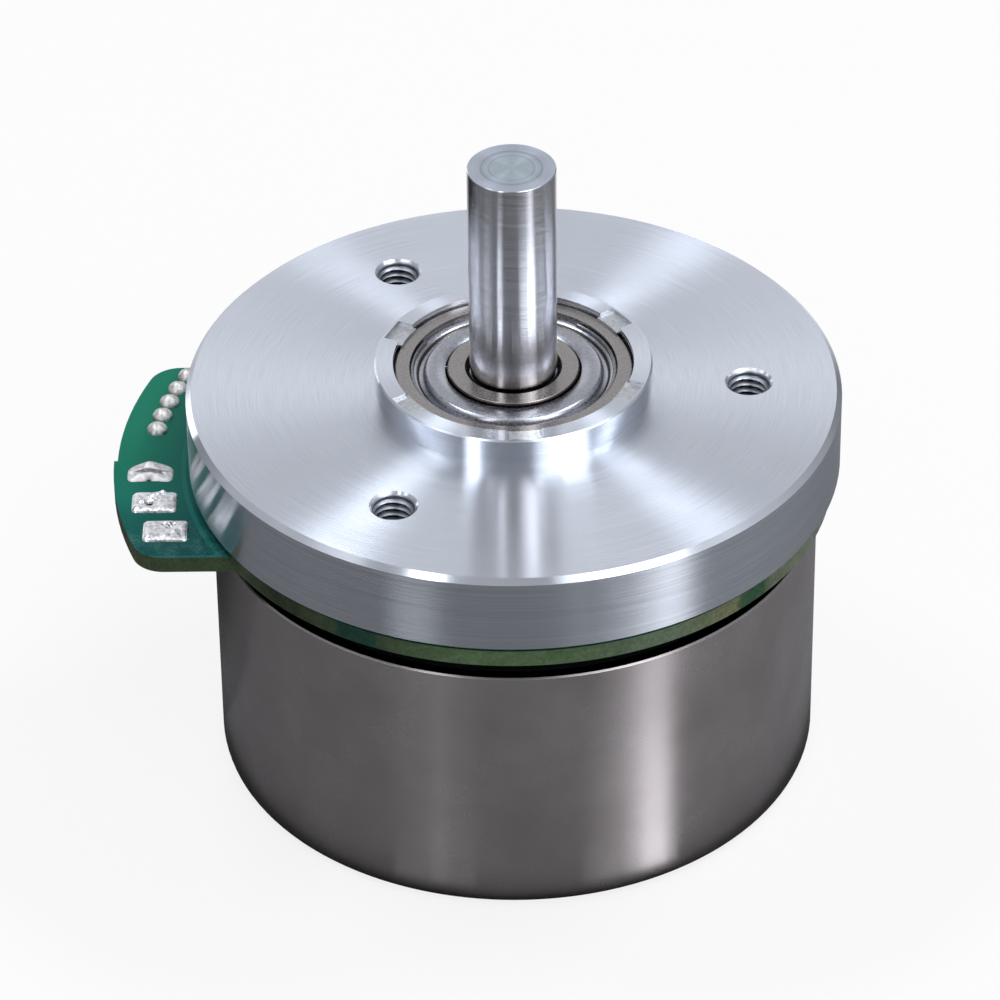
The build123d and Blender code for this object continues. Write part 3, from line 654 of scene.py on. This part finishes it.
# The laminated core and its moulded insulators.
# Silicon-steel sheets of 0.5 mm stacked and varnished, so the stack's sides show their edges; the
# insulators are black nylon.
lamination = 0.5 * mm
core_steel = new_material("varnished silicon-steel laminations")
tree = core_steel.node_tree
place = add(tree, "TexCoord").outputs["Object"]
height = add(tree, "SeparateXYZ", {"Vector": place}).outputs["Z"]
turns = add(tree, "Math", {0: height, 1: 2 * pi / lamination}, operation="MULTIPLY")
edges = add(tree, "Math", {0: turns}, operation="SINE")
stain = add(tree, "TexNoise", {"Vector": place, "Scale": 1 / (2 * mm), "Detail": 3.0}).outputs["Fac"]
shade = add(tree, "ValToRGB", {"Fac": stain}, stops=[(0.3, linear("#3b3d44")), (0.7, linear("#54565c"))])
bump = add(tree, "Bump", {"Height": edges, "Distance": 0.03 * mm, "Strength": 1.0})
add(tree, "OutputMaterial", {"Surface": add(tree, "BsdfPrincipled", {
    "Base Color": shade, "Metallic": 0.8, "Roughness": 0.45, "Normal": bump})})
dress(core_steel, "stator_core")
black_nylon = moulded_plastic("black nylon 66", "#17181a", "#1f2022", roughness=0.45, grain=0.2 * mm)
dress(black_nylon, "upper_insulator", "lower_insulator")


# The twelve coils.
# Enamelled copper wire of 0.5 mm, wound side by side round each tooth, glossy with its clear coat.
# The outer layer is drawn turn by turn round a core that stands for the layers under it.
enamel = new_material("enamelled copper wire")
tree = enamel.node_tree
place = add(tree, "TexCoord").outputs["Object"]
tone = add(tree, "TexNoise", {"Vector": place, "Scale": 1 / (1.5 * mm), "Detail": 2.0}).outputs["Fac"]
shade = add(tree, "ValToRGB", {"Fac": tone}, stops=[(0.3, linear("#9c4a1e")), (0.7, linear("#c06a30"))])
add(tree, "OutputMaterial", {"Surface": add(tree, "BsdfPrincipled", {
    "Base Color": shade, "Metallic": 0.9, "Roughness": 0.3, "Coat Weight": 0.6, "Coat Roughness": 0.15})})
coil_count = 12
wire_r = 0.25 * mm
coil_corner_r = 1.4 * mm
corner_steps, wire_sides = 4, 8
core_inset, core_end = 1.2 * wire_r, 0.05 * mm
low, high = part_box("coil_01")
coil_slope = tan(pi / coil_count)
coil_middle = (low.z + high.z) / 2
turn_count = int((high.x - low.x) / (2 * wire_r))


def coil_section(x, inset):
    """Points and outward directions round a coil at a distance x from the shaft, inset from its skin."""
    half_w = high.y - (high.x - x) * coil_slope - inset
    half_h = (high.z - low.z) / 2 - inset
    r = coil_corner_r - inset
    made = []
    for corner, (sy, sz) in enumerate(((1, 1), (-1, 1), (-1, -1), (1, -1))):
        for step in range(corner_steps + 1):
            angle = pi / 2 * (corner + step / corner_steps)
            out = Vector((0, cos(angle), sin(angle)))
            made.append((Vector((x, sy * (half_w - r), coil_middle + sz * (half_h - r))) + out * r, out))
    return made


around = 4 * (corner_steps + 1)
last = turn_count * around
points = []
for i in range(last + 1):
    x = low.x + wire_r + (high.x - low.x - 2 * wire_r) * i / last
    spot, out = coil_section(x, wire_r)[i % around]
    for k in range(wire_sides):
        a = 2 * pi * k / wire_sides
        points.append(spot + wire_r * (cos(a) * out + sin(a) * Vector((1, 0, 0))))
start = len(points)
faces = ring_faces(last + 1, wire_sides)
faces += [tuple(reversed(range(wire_sides))), tuple(range(start - wire_sides, start))]
for x in (low.x + core_end, high.x - core_end):
    points += [spot for spot, _ in coil_section(x, core_inset)]
faces += ring_faces(2, around, start)
faces += [tuple(reversed(range(start, start + around))), tuple(range(start + around, start + 2 * around))]
for i in range(coil_count):
    turn = Matrix.Rotation(2 * pi * i / coil_count, 4, "Z")
    winding = new_piece(f"winding_{i + 1:02d}", [turn @ Vector(p) for p in points], faces, enamel,
                        sharp_angle=60)
    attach(winding, "stator")
    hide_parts(f"coil_{i + 1:02d}")


# The circuit board.
# Glass-epoxy laminate under green solder mask, brighter over copper and clouded by flux near the pads.
# The routed edge is bare brown-green laminate, torn at two spots where it was broken from its panel.
pour_ring_r, pour_ring_w = 30.5 * mm, 0.44 * mm
pour_margin_y = -14.65 * mm
board = new_material("green solder mask on glass-epoxy board")
tree = board.node_tree
place, axes, _, radius = from_axis(tree)
facing = add(tree, "SeparateXYZ", {"Vector": add(tree, "TexCoord").outputs["Normal"]}).outputs["Z"]
is_top = add(tree, "Math", {0: facing, 1: 0.5}, operation="GREATER_THAN")
is_back = add(tree, "Math", {0: facing, 1: -0.5}, operation="LESS_THAN")
# Painted shade: the mask darkens towards the tab's front edge.
painted_fade = add(tree, "MapRange", {"Value": axes["Y"], "From Min": -14 * mm, "From Max": 6 * mm})
mask = add(tree, "ValToRGB", {"Fac": painted_fade}, stops=[
    (0.0, linear("#004a47")), (0.25, linear("#065b50")), (0.42, linear("#106f5c")),
    (0.6, linear("#106f58")), (1.0, linear("#197a5e"))])
# Painted shade: darker still under the flange's rim.
painted_flange_shade = add(tree, "MapRange", {"Value": radius, "From Min": 35.5 * mm, "From Max": 30 * mm,
                                "To Max": 0.55})
mask = add(tree, "Mix", {0: painted_flange_shade, 6: mask, 7: linear("#0d4a48")}, data_type="RGBA").outputs[2]
off = add(tree, "Math", {0: radius, 1: pour_ring_r}, operation="SUBTRACT")
pour = add(tree, "Math", {0: off, 1: 0.0, 2: pour_ring_w / 2}, operation="COMPARE")
margin = add(tree, "Math", {0: axes["Y"], 1: pour_margin_y}, operation="LESS_THAN")
lines = add(tree, "Math", {0: pour, 1: margin}, operation="MAXIMUM")
lines = add(tree, "Math", {0: lines, 1: 0.5}, operation="MULTIPLY")
copper = add(tree, "Mix", {0: lines, 6: mask, 7: linear("#23756a")}, data_type="RGBA").outputs[2]
fine = add(tree, "TexNoise", {"Vector": place, "Scale": 1 / (0.16 * mm), "Detail": 2.0}).outputs["Fac"]
cloud = add(tree, "TexNoise", {"Vector": place, "Scale": 1 / (1.6 * mm), "Detail": 4.0,
                               "Roughness": 0.6}).outputs["Fac"]
near_pads = add(tree, "MapRange", {"Value": axes["Y"], "From Min": -6 * mm, "From Max": -11 * mm})
residue = add(tree, "Math", {0: cloud, 1: near_pads}, operation="MULTIPLY")
residue = add(tree, "Math", {0: residue, 1: fine}, operation="MULTIPLY")
residue = add(tree, "ValToRGB", {"Fac": residue}, stops=greys([(0.2, 0), (0.42, 0.4)]))
top = add(tree, "Mix", {0: residue, 6: copper, 7: linear("#5f8d88")}, data_type="RGBA").outputs[2]
around = add(tree, "TexGradient", {"Vector": place}, gradient_type="RADIAL").outputs["Fac"]
# The edge's tone changes with the direction round the board, darker in some stretches.
resin, darker_edge, dark_edge = "#3c4934", "#2b3322", "#38422e"
bare, grey, pale, brown, dusty = "#4f6446", "#5f705c", "#6a745f", "#707354", "#767f78"
torn_left, torn_right = "#1c3c30", "#35543d"
edge = add(tree, "ValToRGB", {"Fac": around}, stops=[(at, linear(shade)) for at, shade in (
    (0.02, resin), (0.09, resin), (0.12, darker_edge), (0.155, dark_edge), (0.16, torn_left),
    (0.179, torn_left), (0.184, resin), (0.215, bare), (0.28, bare), (0.33, grey), (0.367, brown),
    (0.371, torn_right), (0.387, torn_right), (0.392, pale), (0.42, pale), (0.45, dusty), (0.5, dusty),
    (0.56, bare), (0.98, resin))])
torn_marks = add(tree, "TexNoise", {"Vector": place, "Scale": 1 / (0.35 * mm), "Detail": 2.0})
blotch = add(tree, "Math", {0: torn_marks.outputs["Fac"], 1: cloud}, operation="ADD")
blotch = add(tree, "MapRange", {"Value": blotch, "From Min": 0.7, "From Max": 1.3,
                                "To Min": 0.7, "To Max": 1.25})
edge = add(tree, "VectorMath", {0: edge, "Scale": blotch}, operation="SCALE")
colour = add(tree, "Mix", {0: is_top, 6: edge, 7: top}, data_type="RGBA").outputs[2]
# Painted shade: the underside is a darker green.
painted_shade_underside = add(tree, "ValToRGB", {"Fac": cloud}, stops=[(0.3, linear("#083429")), (0.7, linear("#0d4335"))])
painted_shade_underside = add(tree, "Mix", {0: lines, 6: painted_shade_underside, 7: linear("#1a5a49")}, data_type="RGBA").outputs[2]
colour = add(tree, "Mix", {0: is_back, 6: colour, 7: painted_shade_underside}, data_type="RGBA").outputs[2]
rough = add(tree, "Mix", {0: is_top, 2: 0.7, 3: 0.3}, data_type="FLOAT").outputs[0]
weave = add(tree, "Bump", {"Height": cloud, "Distance": 0.02 * mm, "Strength": 1.0})
add(tree, "OutputMaterial", {"Surface": add(tree, "BsdfPrincipled", {
    "Base Color": colour, "Roughness": rough, "IOR": 1.5, "Specular IOR Level": 0.08, "Normal": weave})})
dress(board, "circuit_board")


# The solder on the tab.
# Hand-soldered tin-silver: three heaped phase pads, lumpy where the iron left them and frosted in
# patches, and five round sensor joints, smoother and dulled by flux.
def hand_solder(name, dark, light, roughness, relief=0.014 * mm):
    """Solder as an iron leaves it: frosted in patches, and darker in its deepest pits."""
    made = new_material(name)
    tree = made.node_tree
    place = add(tree, "TexCoord").outputs["Object"]
    frost = add(tree, "TexNoise", {"Vector": place, "Scale": 1 / (0.4 * mm), "Detail": 3.0}).outputs["Fac"]
    shade = add(tree, "ValToRGB", {"Fac": frost}, stops=[(0.35, linear(dark)), (0.65, linear(light))])
    rough = add(tree, "MapRange", {"Value": frost, "From Min": 0.3, "From Max": 0.7,
                                   "To Min": roughness - 0.08, "To Max": roughness + 0.08})
    pit_dark = add(tree, "Attribute", attribute_name="pit").outputs["Fac"]
    shade = add(tree, "Mix", {0: pit_dark, 6: shade, 7: linear("#2a2321")}, data_type="RGBA").outputs[2]
    bump = add(tree, "Bump", {"Height": frost, "Distance": relief, "Strength": 1.0})
    add(tree, "OutputMaterial", {"Surface": add(tree, "BsdfPrincipled", {
        "Base Color": shade, "Metallic": 1.0, "Roughness": rough, "Normal": bump})})
    return made


satin_solder = hand_solder("satin tin-silver solder", "#c6c2c1", "#e6e3e2", roughness=0.55)
solder = hand_solder("hand-laid tin-silver solder", "#cbc9c8", "#f3f2f1", roughness=0.31)
dull_solder = hand_solder("flux-dulled tin-silver solder", "#b9b5b0", "#e2dfdb", roughness=0.42,
                          relief=0.004 * mm)
heap_rings, heap_steps = 26, 72
flat_rim = 8
deep_pit = -0.15


def heap(name, node, finish, squareness, crown, fall, lumps, grain, bow=0.0, skin=0.06):
    """Solder heaped over a CAD joint's footprint, with lumps as (x, y, radius, height) in millimetres.

    It falls from its crown to its rim, its skin is uneven, and its middle is bowed towards the back.
    """
    low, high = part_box(node)
    half_x, half_y = (high.x - low.x) / 2, (high.y - low.y) / 2
    middle = Vector(((low.x + high.x) / 2, (low.y + high.y) / 2, low.z))
    top = high.z - low.z

    def bulge(x, y, lx, ly, reach):
        return exp(-reach * ((x - lx) ** 2 + (y - ly) ** 2))

    def lift(x, y, share):
        inside = 1 - share ** flat_rim
        spot = Vector((x * 1.3, y * 1.3, grain))
        lumpy = sum(h * bulge(x, y, lx, ly, 1 / lr ** 2) for lx, ly, lr, h in lumps)
        uneven = skin * noise.fractal(spot, 0.8, 2.0, 2)
        return crown * (1 - share ** fall) ** 0.5 + inside * (lumpy + uneven)

    # Darker colour in the deepest pits.
    def pit_dark(x, y):
        darkened = [-3 * h * bulge(x, y, lx, ly, 1.6 / lr ** 2) for lx, ly, lr, h in lumps if h < deep_pit]
        return min(sum(darkened), 1)

    points, pits = [], []
    for i in range(heap_rings + 1):
        share = 1 - i / heap_rings
        for j in range(heap_steps):
            a = 2 * pi * j / heap_steps
            reach = abs(cos(a) / half_x) ** squareness + abs(sin(a) / half_y) ** squareness
            reach = reach ** (-1 / squareness)
            x, y = share * reach * cos(a), share * reach * sin(a)
            z = max(lift(x / mm, y / mm, share) * mm, 0.0) if i else 0.0
            bowed = y + bow * mm * (1 - (x / half_x) ** 2) if y < 0 else y * (1 - bow * (x / half_x) ** 2)
            points.append(middle + Vector((x, bowed, min(z, top))))
            pits.append(pit_dark(x / mm, y / mm))
    faces = ring_faces(heap_rings + 1, heap_steps)
    faces.append(tuple(reversed(range(heap_steps))))
    made = new_piece(name, points, faces, finish, sharp_angle=60)
    made.data.attributes.new("pit", "FLOAT", "POINT").data.foreach_set("value", pits)
    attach(made, "stator")
    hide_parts(node)


heap("phase_joint_1", "phase_solder_1", satin_solder, squareness=4.5, crown=0.2, fall=5, lumps=[
    (-0.1, 0.6, 0.9, 0.66), (-1.2, 0.2, 0.55, 0.1), (1.1, 0.2, 0.6, 0.14), (-0.5, 0.25, 0.42, 0.1),
    (0.4, 0.25, 0.42, 0.1), (-1.0, -0.4, 0.3, -0.08), (-0.5, -0.35, 0.3, -0.1), (0.0, -0.3, 0.32, -0.1),
    (0.5, -0.35, 0.3, -0.1), (1.0, -0.4, 0.3, -0.08), (-1.1, -0.9, 0.4, 0.14), (-0.5, -0.85, 0.4, 0.17),
    (0.1, -0.85, 0.4, 0.2), (0.7, -0.9, 0.4, 0.16), (-0.1, -1.5, 0.35, -0.4)], grain=1.0, bow=0.4)
heap("phase_joint_2", "phase_solder_2", solder, squareness=8, crown=0.28, fall=7, lumps=[
    (0.75, 1.25, 0.27, 0.4), (0.35, 0.95, 0.4, 0.2), (-0.2, 0.7, 0.35, 0.12), (-0.42, -0.3, 0.3, -0.5),
    (-1.2, 0.0, 0.3, 0.16), (-1.5, -0.9, 0.3, 0.1), (0.9, -0.6, 0.6, 0.1), (-0.5, -1.25, 0.25, 0.14),
    (0.6, -1.3, 0.25, 0.12)], grain=2.0)
heap("phase_joint_3", "phase_solder_3", solder, squareness=9, crown=0.26, fall=8, lumps=[
    (0.3, 0.75, 0.2, 0.36), (-0.05, 0.8, 0.17, -0.34), (0.65, 0.8, 0.17, -0.34), (0.3, 0.35, 0.16, -0.3),
    (-1.5, -0.9, 0.35, 0.16), (0.0, -0.9, 0.3, 0.12), (0.9, -0.8, 0.3, 0.12), (1.4, 0.3, 0.4, 0.1),
    (0.8, -0.2, 0.3, 0.12)], grain=3.0)
for i in range(5):
    heap(f"sensor_joint_{i + 1}", f"signal_solder_{i + 1}", dull_solder, squareness=2.2, crown=0.62,
         fall=2.0, lumps=[(-0.1, -0.05, 0.6, 0.2)], grain=4.0 + i, skin=0.02)


# The pins and the Hall sensors.
# The phase pins are tinned copper, squared off above the board; the sensors are black moulded epoxy
# packages, whose tinned legs are dressed in the epoxy finish too.
tin = ground_steel("tinned copper", "#b7b2a8", "#cdc8bf", roughness=0.3, pitch=0.2 * mm)
dress(tin, "phase_pin_1", "phase_pin_2", "phase_pin_3")
epoxy = moulded_plastic("moulded black epoxy", "#141416", "#1d1d20", roughness=0.55, grain=0.15 * mm)
dress(epoxy, "hall_sensor_1", "hall_sensor_2", "hall_sensor_3")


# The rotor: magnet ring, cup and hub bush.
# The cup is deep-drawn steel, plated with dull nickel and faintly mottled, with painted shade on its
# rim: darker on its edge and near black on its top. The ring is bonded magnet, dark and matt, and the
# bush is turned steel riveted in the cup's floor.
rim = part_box("rotor_cup")[1].z
rim_face, rim_edge = rim - 0.02 * mm, rim - 0.14 * mm
wave_relief = 10.0
plated = new_material("dull nickel plate on drawn steel")
tree = plated.node_tree
place = add(tree, "TexCoord").outputs["Object"]
cloud = add(tree, "TexNoise", {"Vector": place, "Scale": 1 / (6 * mm), "Detail": 4.0,
                               "Roughness": 0.55}).outputs["Fac"]
fine = add(tree, "TexNoise", {"Vector": place, "Scale": 1 / (0.12 * mm), "Detail": 2.0}).outputs["Fac"]
shade = add(tree, "ValToRGB", {"Fac": cloud}, stops=[(0.3, linear("#cfc6c5")), (0.7, linear("#dad2d1"))])
height = add(tree, "SeparateXYZ", {"Vector": place}).outputs["Z"]
# Painted shade: a darker band on the rim's edge.
painted_shade_edge = add(tree, "Math", {0: height, 1: rim_edge}, operation="GREATER_THAN")
shade = add(tree, "Mix", {0: painted_shade_edge, 6: shade, 7: linear("#8d8887")}, data_type="RGBA").outputs[2]
# Painted shade: the rim's top face near black.
painted_shade_rim = add(tree, "Math", {0: height, 1: rim_face}, operation="GREATER_THAN")
shade = add(tree, "Mix", {0: painted_shade_rim, 6: shade, 7: linear("#101012")}, data_type="RGBA").outputs[2]
rough = add(tree, "MapRange", {"Value": cloud, "From Min": 0.25, "From Max": 0.75,
                               "To Min": 0.25, "To Max": 0.285})
waves = add(tree, "Math", {0: cloud, 1: wave_relief, 2: fine}, operation="MULTIPLY_ADD")
bump = add(tree, "Bump", {"Height": waves, "Distance": 0.0005 * mm, "Strength": 1.0,
                          "Normal": turned_normal(tree)})
add(tree, "OutputMaterial", {"Surface": add(tree, "BsdfPrincipled", {
    "Base Color": shade, "Metallic": 1.0, "Roughness": rough, "Anisotropic": 0.4,
    "Anisotropic Rotation": 0.25, "Normal": bump,
    "Tangent": add(tree, "Tangent", direction_type="RADIAL", axis="Z")})})
dress(plated, "rotor_cup")
magnet = moulded_plastic("bonded magnet with epoxy coat", "#232327", "#2e2e33", roughness=0.5,
                         grain=0.3 * mm)
dress(magnet, "magnet_ring")
bush_steel = ground_steel("turned bush steel", "#a9a6a4", "#bcb9b6", roughness=0.3, pitch=0.2 * mm)
dress(bush_steel, "hub_bush")
